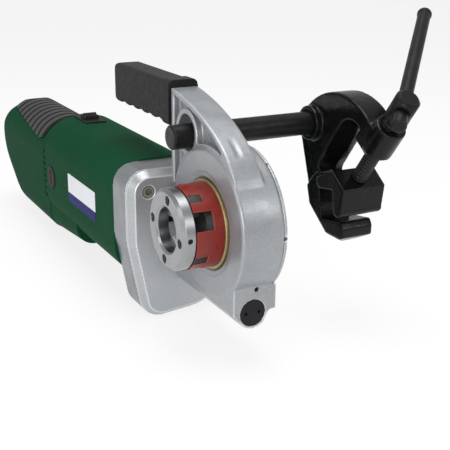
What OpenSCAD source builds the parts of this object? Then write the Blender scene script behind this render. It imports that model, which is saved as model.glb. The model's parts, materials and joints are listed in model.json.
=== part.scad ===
// Electric pipe threader with a pipe clamp on a support rod.
// Origin: on the die axis, in the plane of the drum's front face.
// Axes: +Y along the pipe, from the die head to the clamp; the motor points to -X; +Z is up.

/* [Die head] */
// Outer diameter of the pipe that the jaws hold at rest
pipe_d = 33.7; // [26.9:0.1:42.4]
// Outer radius of the die head body
die_body_r = 41; // [40:0.5:43]
// Distance from the drum face to the front of the cover disc
die_reach = 42; // [38:1:50]
// Outer radius of the cover disc
cover_r = 39.5; // [38:0.5:42]
// Thickness of the cover disc
cover_t = 13; // [10:0.5:16]
// Radius of the bore through the cover disc
cover_bore_r = 21.5; // [21.4:0.1:24]
// Bore radius inside the die head body
die_core_r = 25; // [24:0.5:27]
// Width of one thread cutting die
die_w = 10; // [8:0.5:12]
// Radius of the circle of cover screws
cover_screw_ring_r = 30; // [29:0.5:32]
// Thread radius of a cover screw
cover_screw_r = 3; // [2.5:0.5:3.5]
// Angle of the first cover screw from +X
cover_screw_angle = 82; // [76:1:86]
// Angle from a cover screw back to the die beside it
die_offset_angle = 25; // [23:1:28]
// Angle from a cover screw back to the middle of the chip window
window_offset_angle = 58; // [57:1:64]

/* [Drive ring and worm] */
// Number of teeth on the drive ring
ring_teeth = 65; // [60:1:70]
// Module of the drive ring and the worm
worm_module = 2; // [1.8:0.1:2.2]
// Pitch radius of the worm
worm_pitch_r = 11; // [10:0.5:11]
// Length of the threaded part of the worm
worm_len = 42; // [36:1:60]
// Width of the toothed rim
ring_rim_w = 18; // [14:1:20]
// Radius of the worm shaft journals
worm_shaft_r = 5; // [4:0.5:6]

/* [Gear train] */
// Teeth on the motor pinion
pinion_teeth = 12; // [11:1:13]
// Teeth on the idler wheel
idler_teeth = 28; // [26:1:30]
// Module of the first gear stage
stage1_module = 1.25; // [1.15:0.05:1.3]
// Teeth on the idler pinion
idler_pinion_teeth = 14; // [13:1:15]
// Teeth on the worm shaft wheel
worm_wheel_teeth = 48; // [46:1:50]
// Module of the second gear stage
stage2_module = 1.5; // [1.4:0.05:1.55]
// Face width of the first gear stage
stage1_w = 10; // [8:0.5:11]
// Face width of the second gear stage
stage2_w = 12; // [9:0.5:13]
// Radius of the idler shaft journals
idler_shaft_r = 5; // [4:0.5:6]

/* [Drum housing] */
// Depth of the drum along the pipe
drum_depth = 44; // [44:1:54]
// Thickness of the drum's outer wall
drum_wall = 5.5; // [5:0.5:8]
// Thickness of the drum's front wall
drum_front_wall = 9; // [8:0.5:11]
// Thickness of the rear cover plate
rear_cover_t = 6; // [5:0.5:8]
// Fillet of the drum's rims
drum_fillet = 3; // [1:0.5:4]
// Radius of the die opening in the drum
die_opening_r = 44; // [43.5:0.1:46]
// Distance from the die axis to the end face of the worm housing
worm_nose_x = 54; // [52:1:62]
// Wall round the worm bore
worm_wall = 2.5; // [2.5:0.5:5]
// Distance from the die axis to the front of the face plate
face_x = 80; // [78:1:90]
// Thickness of the face plate
face_t = 12; // [10:1:16]
// Thread radius of the housing screws
housing_screw_r = 4; // [3:0.5:4.5]

/* [Arm and grip] */
// Depth of the arm along the pipe
arm_depth = 31; // [28:1:40]
// Radius of the loose hole for the support rod
rod_hole_r = 18; // [17:0.5:19]
// Distance of the rod hole from the die axis, towards the motor
rod_hole_x = 46.4; // [44:0.2:48]
// Height of the rod hole above the die axis
rod_hole_z = 79.3; // [78:0.1:82]
// Depth of the pockets in the arm's front face
pocket_depth = 8; // [4:0.5:12]
// Length of the top grip without its collar
grip_len = 130; // [100:1:150]
// Width of the top grip
grip_w = 30; // [26:1:34]
// Height of the top grip
grip_h = 44; // [38:1:46]
// Height of the grip's top face above the die axis
grip_top_z = 123.5; // [120:0.5:126]
// Length of the grip's collar
collar_len = 18; // [10:1:24]
// How far the collar stands out from the grip
collar_lip = 1.5; // [1:0.5:4]
// Number of finger hollows under the grip
finger_hollows = 5; // [3:1:6]

/* [Gearcase and motor] */
// Length of the gearcase behind the face plate
gearcase_len = 34; // [33:1:40]
// Wall of the gearcase
gearcase_wall = 5; // [4:0.5:6]
// Height of the motor axis below the die axis
motor_axis_drop = 34; // [32:0.5:36]
// Offset of the motor axis from the drum face, along the pipe
motor_axis_y = 8; // [7:0.5:9]
// Width of the motor barrel
motor_w = 106; // [104:1:116]
// Height of the barrel's top above the motor axis
motor_above = 70; // [66:1:76]
// Depth of the barrel's bottom below the motor axis
motor_below = 62; // [58:1:68]
// Corner radius of the motor barrel
motor_corner_r = 40; // [34:1:43]
// Length of the motor barrel
barrel_len = 238; // [230:1:250]
// Length of the vented collar behind the barrel
shoulder_len = 22; // [18:1:34]
// Wall of the motor barrel and the handle shells
shell_wall = 4; // [3:0.5:5]
// Outer radius of the stator
stator_r = 46; // [43:0.5:46.5]
// Length of the stator
stator_len = 100; // [80:1:105]
// Radius of the armature core
armature_r = 27; // [24:0.5:30]
// Radius of the brush caps
brush_cap_r = 14; // [12.5:0.5:15]
// Number of cooling slots on each side
vent_slots = 9; // [6:1:10]

/* [Rear handle] */
// Length of the handle behind the shoulder
handle_len = 192; // [180:1:210]
// Width of the handle, whose top is a half circle
handle_w = 88; // [84:1:92]
// Height of the handle's top above the motor axis
handle_above = 62; // [60:1:66]
// Depth of the handle's bottom below the motor axis
handle_below = 78; // [74:1:80]
// Corner radius at the bottom of the handle's section
handle_corner_r = 24; // [18:1:30]
// Sideways offset of the handle from the motor axis
handle_shift = 6; // [4:0.5:7]
// Slope of the belly that runs forward under the barrel
belly_rise = 5.2; // [4:0.1:6]
// Thickness of the ribbed saddle
saddle_t = 3; // [2:0.5:4]
// Length of the ribbed saddle
saddle_len = 158; // [120:1:165]
// Number of ribs on the saddle
saddle_ribs = 9; // [5:1:12]
// Length of the trigger paddle
trigger_len = 92; // [70:1:100]
// Width of the trigger paddle
trigger_w = 26; // [18:1:34]

/* [Clamp] */
// Radius of the support rod
rod_r = 12; // [11:0.25:12.5]
// Length of the support rod
rod_len = 193; // [188:1:220]
// How far the rod stands out in front of the arm
rod_front = 18; // [12:1:30]
// Distance from the drum face to the middle of the clamp
clamp_y = 161; // [150:1:180]
// Tilt of the clamp screw from +X
screw_angle = 54; // [48:1:58]
// Thickness of the yoke along the pipe
yoke_t = 28; // [24:1:34]
// Half width of the yoke's throat, on the leg's side
throat_v = 37; // [35:0.5:39]
// Depth of the throat from the pipe axis to the screw's boss
throat_u = 78; // [74:1:84]
// Outer radius of the yoke's arch
yoke_outer_r = 77; // [75:0.5:80]
// Wall of the sleeve round the rod
sleeve_wall = 6; // [5:0.5:9]
// Radius of the clamp screw
screw_r = 8; // [7:0.5:9]
// Pitch of the clamp screw
screw_pitch = 4; // [3:0.5:5]
// Outer radius of the screw's boss on the yoke
screw_boss_r = 15.5; // [14:0.5:18]
// Radius of the screw's head
head_r = 12; // [11:0.5:14]
// Length of the screw's head
head_len = 29; // [24:1:34]
// Length of the moving jaw along the pipe
jaw_len = 52; // [40:1:58]
// Thickness of the jaw's arms
jaw_t = 10; // [8:0.5:11]
// Radius of the sliding bar
bar_r = 6.8; // [6:0.2:8]
// Length of the sliding bar
bar_len = 192; // [150:1:200]
// Length of bar below the screw head's axis at rest
bar_low = 28; // [24:1:40]
// Turn of the sliding bar about the screw, from the upright
bar_angle = 40; // [20:1:50]

/* [Fits] */
// Radial clearance of running fits
run_fit = 0.06; // [0.02:0.01:0.1]
// Radial clearance of pieces that are seated in each other
seat_fit = 0.02; // [0.01:0.01:0.05]
// Free gap beside moving pieces
free_gap = 0.4; // [0.3:0.05:0.6]
// Free gap between the worm's thread and its bore
worm_gap = 0.5; // [0.4:0.1:1]

/* [Hidden] */
$fn = 64;

// Colours
cast = [0.62, 0.64, 0.66];
steel = [0.72, 0.73, 0.74];
dark_steel = [0.35, 0.36, 0.38];
black = [0.11, 0.11, 0.12];
rubber = [0.2, 0.2, 0.2];
green = [0.10, 0.25, 0.16];
red = [0.62, 0.2, 0.15];
zinc = [0.78, 0.68, 0.38];
brass = [0.75, 0.6, 0.3];
copper = [0.72, 0.42, 0.25];
brown = [0.25, 0.14, 0.1];

// How far a cut passes through a face, and how deep two joined forms overlap
through = 1;
eps = 0.01;

// Drive ring and drum
ring_pitch_r = worm_module * ring_teeth / 2;
ring_tip_r = ring_pitch_r + worm_module;
cavity_r = ring_tip_r + worm_gap;
drum_r = cavity_r + drum_wall;
rim_y = drum_front_wall + 4.5;
ring_mid_y = rim_y + ring_rim_w / 2;
cover_y = drum_depth - rear_cover_t;
cover_spigot = 4;
block_shelf = 26;
cover_flange = 3;
rear_screw_r = 1.5;
cover_hole_r = rear_screw_r + 0.1;
step_back = 1.5;
land_w = 7;
land_depth = 0.6;
neck_back = 8;
ring_inner_r = die_body_r + seat_fit;
ring_front = 0.5;
ring_back = drum_depth + cover_flange - 1;
die_front = cover_t - die_reach;
die_len = 13;
die_screw_depth = 14;
die_window_back = die_front + 18;
window_w = 18;
ring_outer_r = die_opening_r - run_fit;
hub_r = die_opening_r + 7;

// Worm, on an axis along X
worm_y = ring_mid_y;
worm_z = -(ring_pitch_r + worm_pitch_r);
worm_tip_r = worm_pitch_r + worm_module;
worm_root_r = worm_pitch_r - 1.25 * worm_module;
worm_bore_r = worm_tip_r + worm_gap;
worm_lead = PI * worm_module;
bearing_w = 8;
plug_t = 6;
nose_bearing_x = worm_nose_x - plug_t - bearing_w - 1;
plate_x = face_x + face_t;
boss_r = worm_bore_r + worm_wall;

// Gear axes, each written as [Y, Z]
motor_axis = [motor_axis_y, -motor_axis_drop];
worm_axis = [worm_y, worm_z];
stage1_centre = stage1_module * (pinion_teeth + idler_teeth) / 2;
stage2_centre = stage2_module * (idler_pinion_teeth + worm_wheel_teeth) / 2;
axis_gap = norm(worm_axis - motor_axis);
axis_dir = (worm_axis - motor_axis) / axis_gap;
idler_along = (stage1_centre ^ 2 - stage2_centre ^ 2 + axis_gap ^ 2) / (2 * axis_gap);
idler_aside = sqrt(stage1_centre ^ 2 - idler_along ^ 2);
idler_axis = motor_axis + idler_along * axis_dir + idler_aside * [axis_dir[1], -axis_dir[0]];

// Gear stages along X
gearcase_x = plate_x + gearcase_len;
gear_plate_t = 5;
bush_r = idler_shaft_r + 2.5;
stage2_x = plate_x + 3;
stage1_x = stage2_x + stage2_w + 2;
idler_dir = direction(motor_axis, idler_axis);
drive_dir = direction(idler_axis, worm_axis);
pinion_phase = idler_dir;
idler_phase = meshed(idler_dir, pinion_phase, pinion_teeth, idler_teeth);
small_phase = drive_dir;
wheel_phase = meshed(drive_dir, small_phase, idler_pinion_teeth, worm_wheel_teeth);

// Motor along X
barrel_end = gearcase_x + barrel_len;
shoulder_end = barrel_end + shoulder_len;
plate_spigot = 8;
motor_bearing_r = 16;
motor_bearing_w = 10;
rear_bearing_r = 14;
rear_bearing_w = 9;
rear_wall_t = 12;
end_wall = 4;
brush_x = barrel_end - 23;
belly_x = barrel_end - 102;
commutator_r = 17;
brush_w = 8;
brush_cap_t = 4;
brush_holder_r = 12;
stator_x = gearcase_x + 50;
shaft_r = 7;

// Rear handle along X
handle_end = shoulder_end + handle_len;
handle_y = motor_axis_y - handle_shift;
handle_z_top = handle_above - motor_axis_drop;
handle_z_low = -handle_below - motor_axis_drop;
saddle_x = shoulder_end + 6;
trigger_x = shoulder_end + 16;
trigger_pin_x = trigger_x + trigger_len - 6;
trigger_pin_z = handle_z_low + 9;
trigger_pin_r = 2.5;
trigger_pin_len = trigger_w + 24;
handle_screw_r = 2;
inlet_r = 11;
inlet_z = -motor_axis_drop - 6;

// Direction switch on top of the barrel
top_z = motor_above - motor_axis_drop;
switch_plate_t = 2;
switch_x = barrel_end - 26;
switch_travel = 8;
stem_len = 10;
stem_w = 6;

// Arm and grip
arm_mid_y = arm_depth / 2;
arm_steps = 22;
grip_low_z = grip_top_z - grip_h;
collar_x = face_x + collar_len;
grip_end = collar_x + grip_len;
grip_bolt_r = 2.5;
rod_seat = rod_hole_r - rod_r - free_gap;
rod_x = -rod_hole_x + rod_seat * cos(25);
rod_z = rod_hole_z - rod_seat * sin(25);

// Clamp frame: u runs along the clamp screw, v square to it
pipe_r = pipe_d / 2;
hook_vertex = -pipe_r * sqrt(2);
jaw_vertex = pipe_r * sqrt(2);
arch_u = 30;
arch_v = 22;
throat_corner = 14;
throat_flare = 9;
rod_u = rod_x * cos(screw_angle) + rod_z * sin(screw_angle);
rod_v = -rod_x * sin(screw_angle) + rod_z * cos(screw_angle);
boss_u0 = throat_u + 4;
boss_u1 = arch_u + yoke_outer_r + 8;
jaw_top = jaw_vertex + jaw_t * sqrt(2) + 0.5;
tip_r = screw_r - 2;
tip_len = 9;
head_u0 = boss_u1 + 9;
head_u1 = head_u0 + head_len;
bar_u = (head_u0 + head_u1) / 2;
sleeve_front = 8;
sleeve_r = rod_r + sleeve_wall;
rod_pin_r = 3;
jaw_pin_r = 1.6;
jaw_half = 2 * pipe_r;
hook_w = 38;

// Angle of the line from one [Y, Z] axis to another
function direction(a, b) = atan2(b[1] - a[1], b[0] - a[0]);

// Angle of a tooth on gear b that meshes with gear a, whose tooth stands at phase
function meshed(line, phase, za, zb) = line + 180 + 180 / zb - (phase - line) * za / zb;

// Corner points of a gear outline: each tooth has four, with play on both flanks
function gear_points(teeth, module_mm, root_share, tip_share) =
    [for (i = [0 : teeth - 1])
        for (corner = [[-root_share, -1.25], [-tip_share, 1], [tip_share, 1], [root_share, -1.25]])
            let (a = (i + corner[0] / 2) * 360 / teeth)
            let (r = module_mm * (teeth / 2 + corner[1]))
            r * [cos(a), sin(a)]];

// Radius of the worm's section at an angle from the crest of its thread
function worm_radius(a) =
    let (off = abs(a > 180 ? a - 360 : a))
    off < 45 ? worm_tip_r :
    off > 105 ? worm_root_r :
    worm_tip_r + (worm_root_r - worm_tip_r) * (off - 45) / 60;

// Extrudes an outline drawn in [Y, Z] from x0 to x1
module along_x(x0, x1) {
    translate([x0, 0, 0]) rotate([90, 0, 90]) linear_extrude(x1 - x0) children();
}

// Extrudes an outline drawn in [X, Z] from y0 to y1
module along_y(y0, y1) {
    translate([0, y1, 0]) rotate([90, 0, 0]) linear_extrude(y1 - y0) children();
}

// Turns an outline drawn in [radius, Y] about the die axis
module turn_y() {
    rotate([-90, 0, 0]) rotate_extrude() children();
}

// Cylinder along X on an axis [Y, Z]
module bar_x(axis, x0, x1, r) {
    translate([x0, axis[0], axis[1]]) rotate([0, 90, 0]) cylinder(h = x1 - x0, r = r);
}

// Cylinder along Y at a place [X, Z]
module bar_y(place, y0, y1, r) {
    translate([place[0], y0, place[1]]) rotate([-90, 0, 0]) cylinder(h = y1 - y0, r = r);
}

// Tube along X on an axis [Y, Z]
module tube_x(axis, x0, x1, r, bore) {
    difference() {
        bar_x(axis, x0, x1, r);
        bar_x(axis, x0 - through, x1 + through, bore);
    }
}

// Rectangle with round corners, from its low corner to its high corner
module round_rect(low, high, r) {
    size = high - low;
    translate(low + [r, 0]) square([size[0] - 2 * r, size[1]]);
    translate(low + [0, r]) square([size[0], size[1] - 2 * r]);
    for (x = [low[0] + r, high[0] - r], y = [low[1] + r, high[1] - r])
        translate([x, y]) circle(r);
}

// Children copied round the die axis
module round_die(count = 4) {
    for (i = [0 : count - 1])
        rotate([0, -i * 360 / count, 0]) children();
}

// Children drawn in the clamp frame: X is u, Z is v, Y is measured from the clamp's middle
module clamp_frame() {
    translate([0, clamp_y, 0]) rotate([0, -screw_angle, 0]) children();
}

// Spur gear along X on an axis [Y, Z]
module gear_x(axis, x0, w, teeth, module_mm, phase) {
    translate([x0, axis[0], axis[1]]) rotate([90, 0, 90]) linear_extrude(w)
        rotate(phase) polygon(gear_points(teeth, module_mm, 0.56, 0.2));
}

// Outline of the gearcase and the face plate in [Y, Z]
module gearcase_outline(inset = 0) {
    corner = 22;
    chin_r = 24;
    left = motor_axis_y - motor_w / 2;
    right = motor_axis_y + motor_w / 2;
    top = motor_above - motor_axis_drop - 2;
    belly_r = stage2_module * (worm_wheel_teeth / 2 + 1) + 7.5 + gearcase_wall;
    hull() {
        for (y = [left + corner, right - corner])
            translate([y, top - corner]) circle(corner - inset, $fn = 32);
        translate([left + corner, top - 74]) circle(corner - inset, $fn = 32);
        translate([worm_y - 31, worm_z - 29]) circle(chin_r - inset, $fn = 32);
        translate(worm_axis) circle(belly_r - inset, $fn = 48);
    }
}

// Section of the motor barrel in [Y, Z]
module barrel_section(inset = 0) {
    low = motor_axis - [motor_w / 2, motor_below];
    high = motor_axis + [motor_w / 2, motor_above];
    round_rect(low + [inset, inset], high - [inset, inset], motor_corner_r - inset);
}

// Section of the rear handle in [Y, Z]
module handle_section(inset = 0) {
    top_r = handle_w / 2;
    corner = handle_corner_r;
    middle = handle_z_top - top_r;
    translate([handle_y, middle]) circle(top_r - inset);
    translate([handle_y - top_r + inset, handle_z_low + corner])
        square([handle_w - 2 * inset, middle - handle_z_low - corner]);
    translate([handle_y - top_r + corner, handle_z_low + inset])
        square([handle_w - 2 * corner, corner]);
    for (side = [-1, 1])
        translate([handle_y + side * (top_r - corner), handle_z_low + corner]) circle(corner - inset);
}

// Side outline of the rear handle in [X, Z], with a round stern and a raked underside
module handle_side(inset = 0) {
    stern_r = 48 - inset;
    rake = 94 - inset;
    low = handle_z_low + inset;
    high = handle_z_top - inset;
    end = -handle_end + inset;
    front = -shoulder_end + (inset > 0 ? through : 0);
    stern = [end + stern_r, high - stern_r];
    keel = [end + rake, low];
    reach = norm(keel - stern);
    heel_angle = direction(stern, keel) - acos(stern_r / reach);
    translate(stern) circle(stern_r);
    polygon([[front, low], [front, high], [stern[0], high], stern,
             stern + stern_r * [cos(heel_angle), sin(heel_angle)], keel]);
}

// The handle's outer form
module handle_form(inset = 0) {
    intersection() {
        along_x(-handle_end - through, -shoulder_end + (inset > 0 ? through : 0)) handle_section(inset);
        along_y(-200, 200) handle_side(inset);
    }
}

// Points of the arm's outline in [X, Z]; a larger inset draws the pockets
function arm_points(inset) =
    concat(arm_curve([-face_x + inset, grip_top_z - 6 - inset], [-25, 110 - 1.1 * inset],
                     [42 - 0.8 * inset, 84.5 - 0.8 * inset], [57 - inset, 44]),
           [[-face_x + inset, 20]]);

// Points on a cubic curve from a to d, drawn towards b and c
function arm_curve(a, b, c, d) =
    [for (i = [0 : arm_steps])
        let (t = i / arm_steps)
        (1 - t) ^ 3 * a + 3 * t * (1 - t) ^ 2 * b + 3 * t ^ 2 * (1 - t) * c + t ^ 3 * d];

// Places of the housing screws on the face plate in [Y, Z], each with the radius of its boss
function housing_screw_places() =
    [[-24, 13, 17.5], [40, 13, 17.5], [59, -38, 9]];

// Cast housing: drum, arm, worm housing and the neck that meets the face plate
module drive_housing() {
    color(cast) difference() {
        union() {
            turn_y() drum_profile();
            along_y(step_back, arm_depth) polygon(arm_points(0));
            along_x(-face_x, -20) neck_section();
            along_x(-face_x, worm_nose_x) worm_block_section();
            rear_lip();
            grip_tang(0);
        }
        drum_bores();
        bar_x(worm_axis, -face_x - through, worm_nose_x + through, worm_bore_r);
        bar_y([-rod_hole_x, rod_hole_z], -through, arm_depth + through, rod_hole_r);
        arm_pockets();
        arm_slot();
        grip_bolt_hole();
        bar_x([worm_y + 4, worm_z + 23], worm_nose_x - 10, worm_nose_x + through, 2.5);
    }
}

// Plate in front of the gears, with a sloping edge
module face_plate() {
    rim = 4;
    color(cast) difference() {
        hull() {
            along_x(-plate_x, -plate_x + rim) gearcase_outline();
            along_x(-face_x - rim, -face_x) gearcase_outline(6);
        }
        bar_x(worm_axis, -plate_x - through, -face_x + through, worm_bore_r);
        bar_x(idler_axis, -plate_x - through, -plate_x + bearing_w, bush_r);
        for (place = housing_screw_places()) {
            bar_x(place, -plate_x - through, -face_x + through, housing_screw_r);
            bar_x(place, -face_x - 8, -face_x + through, housing_screw_r * 1.7);
        }
    }
}

// Shallow slot in the arm's sloping top
module arm_slot() {
    translate([30, arm_mid_y, 79.5]) rotate([0, 36, 0]) cube([30, 6, 5], center = true);
}

// Drum outline in [radius, Y], with round rims
module drum_profile() {
    f = drum_fillet;
    square([drum_r - f, drum_depth]);
    translate([0, f]) square([drum_r, drum_depth - 2 * f]);
    for (y = [f, drum_depth - f])
        translate([drum_r - f, y]) circle(f);
}

// Ring cavity, die opening and the relief ring round it
module drum_bores() {
    relief = 2.5;
    turn_y() translate([0, drum_front_wall]) square([cavity_r, drum_depth]);
    turn_y() translate([0, -through]) square([die_opening_r, drum_depth]);
    turn_y() polygon([[0, -through], [die_opening_r + relief + through, -through],
                      [die_opening_r, relief], [0, relief]]);
    turn_y() translate([0, -through]) square([die_opening_r + land_w, through + land_depth]);
    rear_screw_places() bar_y([0, 0], cover_y - 12, drum_depth + through, 1.6);
}

// Children copied to the rear cover's screw places
module rear_screw_places() {
    for (i = [0 : 5])
        rotate([0, i * 60, 0]) translate([drum_r - drum_wall / 2, 0, 0]) children();
}

// Web that joins the drum to the face plate, in [Y, Z]
module neck_section() {
    neck_top = motor_above - motor_axis_drop - 10;
    translate([neck_back, worm_z]) square([drum_depth - neck_back, neck_top - worm_z]);
}

// Block round the worm, in [Y, Z]
module worm_block_section() {
    translate([step_back, worm_z]) square([drum_depth - step_back, block_shelf]);
    translate(worm_axis) circle(boss_r);
    polygon([[step_back, worm_z], [worm_y - boss_r * cos(50), worm_z - boss_r * sin(50)],
             [worm_y + boss_r * cos(50), worm_z - boss_r * sin(50)], [worm_y + boss_r + 2, worm_z]]);
}

// Lip of the worm block behind the drum, clear of the rear cover
module rear_lip() {
    difference() {
        along_x(-face_x, worm_nose_x) translate([drum_depth - 1, worm_z])
            square([1 + cover_flange + 0.5, block_shelf]);
        bar_y([0, 0], drum_depth - 2, 2 * drum_depth, drum_r - 0.5);
    }
}

// Pockets in the arm's front face, clear of the rod hole's ring and of the drum
module arm_pockets() {
    rib = 6;
    difference() {
        along_y(-through, step_back + pocket_depth) polygon(arm_points(rib));
        bar_y([-rod_hole_x, rod_hole_z], -2 * through, 2 * arm_depth, rod_hole_r + rib - 1);
        bar_y([0, 0], -2 * through, 2 * arm_depth, drum_r + rib / 2);
    }
}

// Tongue that carries the top grip
module grip_tang(gap) {
    along_x(-grip_end + 14 - gap, -face_x + eps)
        translate([arm_mid_y - 6 - gap, grip_low_z + 13 - gap]) square([12 + 2 * gap, 18 + 2 * gap]);
}

module grip_bolt_hole() {
    bar_x([arm_mid_y, grip_low_z + 22], -grip_end, -grip_end + 40, grip_bolt_r);
}

// Plate that closes the back of the drum and guides the ring
module rear_cover() {
    front = cover_y - cover_spigot;
    back = drum_depth + cover_flange;
    spigot_r = cavity_r - seat_fit;
    color(cast) difference() {
        turn_y() polygon([[die_opening_r, front], [spigot_r, front], [spigot_r, drum_depth],
                          [drum_r - 1, drum_depth], [drum_r - 1, back], [die_opening_r, back]]);
        turn_y() translate([die_opening_r + 6, drum_depth])
            square([cavity_r - die_opening_r - 14, drum_depth]);
        rear_screw_places() bar_y([0, 0], drum_depth - through, 2 * drum_depth, cover_hole_r);
    }
}

// Headless screws of the rear cover, flush with its face
module rear_cover_screws() {
    top = drum_depth + cover_flange - 0.2;
    color(dark_steel) rear_screw_places() difference() {
        bar_y([0, 0], cover_y - 8, top, rear_screw_r);
        translate([0, top - 1.5, 0]) rotate([-90, 0, 0])
            cylinder(h = 2 * through, r = rear_screw_r * 0.6, $fn = 6);
    }
}

// Socket head screws that hold the face plate to the gearcase
module housing_screws() {
    color(dark_steel) for (place = housing_screw_places()) difference() {
        union() {
            bar_x(place, -plate_x - 14, -face_x - 4, housing_screw_r - seat_fit);
            bar_x(place, -face_x - 8, -face_x - 0.5, housing_screw_r * 1.6);
        }
        translate([-face_x - 4, place[0], place[1]]) rotate([0, 90, 0])
            cylinder(h = 5, r = housing_screw_r * 0.85, $fn = 6);
    }
}

// Threaded plug that closes the nose of the worm bore
module worm_plug() {
    color(black) difference() {
        bar_x(worm_axis, worm_nose_x - plug_t, worm_nose_x - 0.6, worm_bore_r - seat_fit);
        for (side = [-1, 1])
            bar_x(worm_axis + [side * 7, 0], worm_nose_x - 3.5, worm_nose_x, 1.75);
    }
}

// The two bearings of the worm shaft
module worm_bearings() {
    color(steel) for (x = [-plate_x, nose_bearing_x])
        bearing_x(worm_axis, x, bearing_w, worm_bore_r - seat_fit, worm_shaft_r + run_fit);
}

// Ball bearing drawn as two rings with a shield set back between them
module bearing_x(axis, x, w, r, bore) {
    step = (r - bore) / 4;
    difference() {
        tube_x(axis, x, x + w, r, bore);
        for (face = [x - through, x + w - 0.5])
            tube_x(axis, face, face + through + 0.5 - (face < x ? 0.5 : 0), r - step, bore + step);
    }
}

// Gearcase: a cup behind the face plate, open to the motor
module gearcase() {
    color(cast) difference() {
        union() {
            difference() {
                along_x(-gearcase_x, -plate_x) gearcase_outline();
                along_x(-gearcase_x + gear_plate_t, -plate_x + through) gearcase_outline(gearcase_wall);
            }
            for (place = housing_screw_places())
                bar_x(place, -plate_x - stage2_w - 2, -plate_x, place[2]);
        }
        along_x(-gearcase_x - through, -gearcase_x + gear_plate_t + through)
            barrel_section(shell_wall + 4);
        for (place = housing_screw_places())
            bar_x(place, -plate_x - 15, -plate_x + through, housing_screw_r);
    }
}

// Plate between the motor and the gears; it carries a bearing and a bush
module gear_plate() {
    front = -gearcase_x + gear_plate_t;
    back = -gearcase_x - plate_spigot;
    color(cast) difference() {
        union() {
            along_x(back, -gearcase_x) barrel_section(shell_wall + seat_fit);
            along_x(-gearcase_x, front) barrel_section(shell_wall + 4 + seat_fit);
        }
        bar_x(motor_axis, back - through, back + motor_bearing_w, motor_bearing_r);
        bar_x(motor_axis, back, front + through, shaft_r + 4);
        bar_x(idler_axis, front - bearing_w, front + through, bush_r);
    }
}

// Bushes of the idler shaft, one in the gear plate and one in the face plate
module idler_bushes() {
    color(brass) for (x = [-gearcase_x + gear_plate_t - bearing_w, -plate_x])
        tube_x(idler_axis, x, x + bearing_w, bush_r - seat_fit, idler_shaft_r + run_fit);
}

// Motor barrel with its rear collar, webs for the stator and a rear bearing wall
module motor_housing() {
    belly_step = 0.8;
    color(green) difference() {
        union() {
            along_x(-barrel_end, -gearcase_x) barrel_section();
            belly(-barrel_end, -belly_x, belly_step);
            along_x(-shoulder_end, -barrel_end) handle_section();
        }
        difference() {
            along_x(-barrel_end + end_wall, -gearcase_x + through) barrel_section(shell_wall);
            for (x = [stator_x + 8, stator_x + stator_len - 18])
                along_x(-x - 10, -x) barrel_section(shell_wall - through);
        }
        bar_x(motor_axis, -barrel_end + end_wall, -gearcase_x, stator_r);
        belly(-barrel_end + end_wall, -belly_x - shell_wall, belly_step + shell_wall);
        along_x(-shoulder_end - through, -barrel_end - rear_wall_t) handle_section(shell_wall);
        bar_x(motor_axis, -barrel_end - rear_bearing_w, -barrel_end + end_wall + through, rear_bearing_r);
        brush_places() cylinder(h = motor_w, r = brush_cap_r + seat_fit);
        cooling_slots();
        switch_slot();
    }
}

// Sloping belly between two places on X
module belly(x0, x1, inset) {
    intersection() {
        translate([-barrel_end, 0, handle_z_low]) rotate([0, -belly_rise, 0])
            translate([0, 0, -handle_z_low]) along_x(-20, barrel_len) belly_section(inset);
        translate([x0, -200, -200]) cube([x1 - x0, 400, 400]);
    }
}

// Lower half of the handle's section, which runs forward under the barrel
module belly_section(inset) {
    intersection() {
        handle_section(inset);
        translate([-200, -200]) square([400, 200 - motor_axis_drop - 20]);
    }
}

// Children placed on both sides of the motor, pointing out through the wall
module brush_places() {
    for (side = [-1, 1])
        translate([-brush_x, motor_axis[0], motor_axis[1]]) rotate([side * -90, 0, 0]) children();
}

// Slanted slots on both sides of the collar
module cooling_slots() {
    slot_pitch = 8;
    slot_depth = 12;
    for (side = [-1, 1])
        for (i = [0 : vent_slots - 1])
            translate([-barrel_end - shoulder_len / 2, handle_y + side * handle_w / 2,
                       motor_axis[1] + (i - (vent_slots - 1) / 2) * slot_pitch])
                rotate([0, 18, 0]) cube([shoulder_len - 6, slot_depth, 4.2], center = true);
}

// Laminated field core with its coils
module stator() {
    color(dark_steel)
        tube_x(motor_axis, -stator_x - stator_len, -stator_x, stator_r - seat_fit, armature_r + 1);
    color(copper) for (x = [-stator_x - stator_len - 9, -stator_x])
        tube_x(motor_axis, x, x + 9, stator_r - 6, armature_r + 5);
}

// Front and rear bearings of the armature
module motor_bearings() {
    back = -gearcase_x - plate_spigot;
    color(steel) {
        bearing_x(motor_axis, back, motor_bearing_w, motor_bearing_r - seat_fit, shaft_r + run_fit);
        bearing_x(motor_axis, -barrel_end - rear_bearing_w, rear_bearing_w,
                  rear_bearing_r - seat_fit, shaft_r - 2 + run_fit);
    }
}

// Tubes that guide the brushes
module brush_holders() {
    color(brass) brush_places() difference() {
        translate([0, 0, commutator_r + 3])
            cylinder(h = motor_w / 2 - commutator_r - 3 - brush_cap_t, r = brush_holder_r);
        translate([-brush_w / 2 - seat_fit, -brush_w / 2 - seat_fit, 0])
            cube([brush_w + 2 * seat_fit, brush_w + 2 * seat_fit, motor_w]);
    }
}

// Carbon brushes, just clear of the commutator
module brushes() {
    color(black) brush_places() translate([-brush_w / 2, -brush_w / 2, commutator_r + free_gap])
        cube([brush_w, brush_w, 20]);
}

// Round caps over the brushes, with a screwdriver slot
module brush_caps() {
    color(brown) brush_places() difference() {
        translate([0, 0, motor_w / 2 - brush_cap_t]) cylinder(h = brush_cap_t + 1, r = brush_cap_r);
        translate([-1.2, -brush_cap_r * 0.7, motor_w / 2 - 1]) cube([2.4, brush_cap_r * 1.4, 3]);
    }
}

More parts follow.
